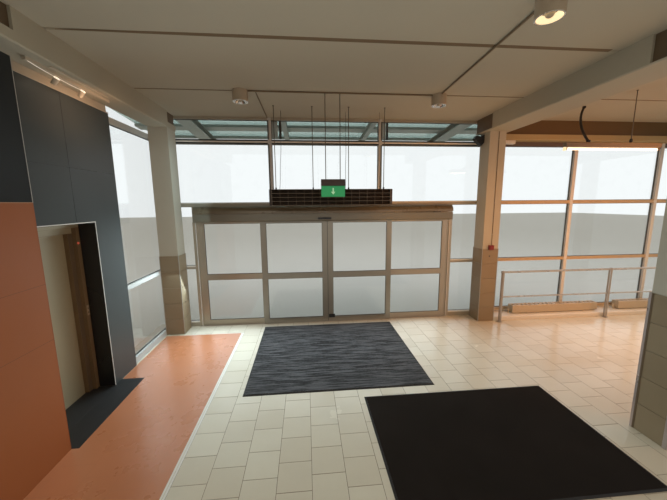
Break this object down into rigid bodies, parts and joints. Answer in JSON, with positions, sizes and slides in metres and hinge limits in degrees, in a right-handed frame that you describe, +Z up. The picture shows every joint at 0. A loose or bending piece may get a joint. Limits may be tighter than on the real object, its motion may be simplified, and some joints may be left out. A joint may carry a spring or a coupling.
{
  "type": "supermarket entrance bay with automatic sliding doors",
  "caption": "Entrance bay of a supermarket: glazed front with bi-parting sliding doors, glass canopy, shop windows, columns, beams, roof planks and tiled floor.",
  "frame": {"origin": "on the ground under the middle of the sliding door, in the plane of the front's glass", "axes": "+X along the front, to the right as seen from inside; +Y out of the building; +Z up"},
  "size_m": [13.364, 6.81, 4.5],
  "materials": {
    "floor_tile": "glazed tile on concrete, satin",
    "mat_ribbed": "ribbed carpet on rubber",
    "painted_concrete": "painted concrete, matt",
    "brown_paint": "brown paint, matt",
    "champagne_aluminium": "anodised, satin",
    "grey_aluminium": "powder coated, satin",
    "cream_aluminium": "powder coated, satin",
    "clear_glass": "clear double glass",
    "green_glass": "laminated, green tint",
    "dark_plastic": "moulded, matt",
    "brown_metal": "powder coated, dark brown",
    "sign_green": "lit acrylic",
    "rod_steel": "zinc plated",
    "rail_steel": "brushed stainless",
    "white_paint": "enamel, satin",
    "dark_board": "laminate board, satin",
    "terracotta_board": "laminate board, matt",
    "beige_paint": "painted steel, satin",
    "red_plastic": "moulded, gloss"
  },
  "bodies": {
    "building": {"floor_slab": "floor_tile", "door_mats": "mat_ribbed", "columns": "painted_concrete", "column_heads": "brown_paint", "beams": "painted_concrete", "roof_planks": "painted_concrete", "fascia": "grey_aluminium", "front_posts": "grey_aluminium", "front_rails": "grey_aluminium", "fixed_glass": "clear_glass", "door_posts": "champagne_aluminium", "door_track": "champagne_aluminium", "header_rail": "grey_aluminium", "header_cover": "champagne_aluminium", "header_lids": "champagne_aluminium", "door_drive": "dark_plastic", "screen_frames": "champagne_aluminium", "detectors": "dark_plastic", "air_curtain": "brown_metal", "air_curtain_grille": "brown_metal", "exit_sign": "sign_green", "hanging_rods": "rod_steel", "canopy_rafters": "grey_aluminium", "canopy_purlins": "grey_aluminium", "canopy_glass": "green_glass", "window_posts": "cream_aluminium", "window_rails": "cream_aluminium", "window_lintel": "brown_paint", "window_pelmet": "cream_aluminium", "window_plinth": "white_paint", "convectors": "cream_aluminium", "guard_rail": "rail_steel", "guard_rail_bars": "rail_steel", "return_rails": "white_paint", "side_wall": "painted_concrete", "side_lintel": "painted_concrete", "wall_cladding": "dark_board", "pier_cladding": "terracotta_board", "pier_top": "dark_board", "side_door_frame": "beige_paint", "side_door_leaf": "beige_paint", "ceiling_lights": "white_paint", "batten_light": "white_paint", "spot_track": "white_paint", "call_point": "red_plastic", "conduits": "rod_steel"},
    "left_leaf": {"left_leaf_frame": "champagne_aluminium", "left_leaf_glass": "clear_glass", "left_leaf_hangers": "rod_steel"},
    "right_leaf": {"right_leaf_frame": "champagne_aluminium", "right_leaf_glass": "clear_glass", "right_leaf_hangers": "rod_steel"}
  },
  "joints": [
    {"name": "left_leaf_slide", "type": "slide", "parent": "building", "child": "left_leaf", "axis": [-1, 0, 0], "range_m": [0, 1.1]},
    {"name": "right_leaf_slide", "type": "slide", "parent": "building", "child": "right_leaf", "axis": [1, 0, 0], "range_m": [0, 1.1]}
  ],
  "couplings": [
    {"joint": "right_leaf_slide", "follows": "left_leaf_slide", "ratio": 1}
  ]
}
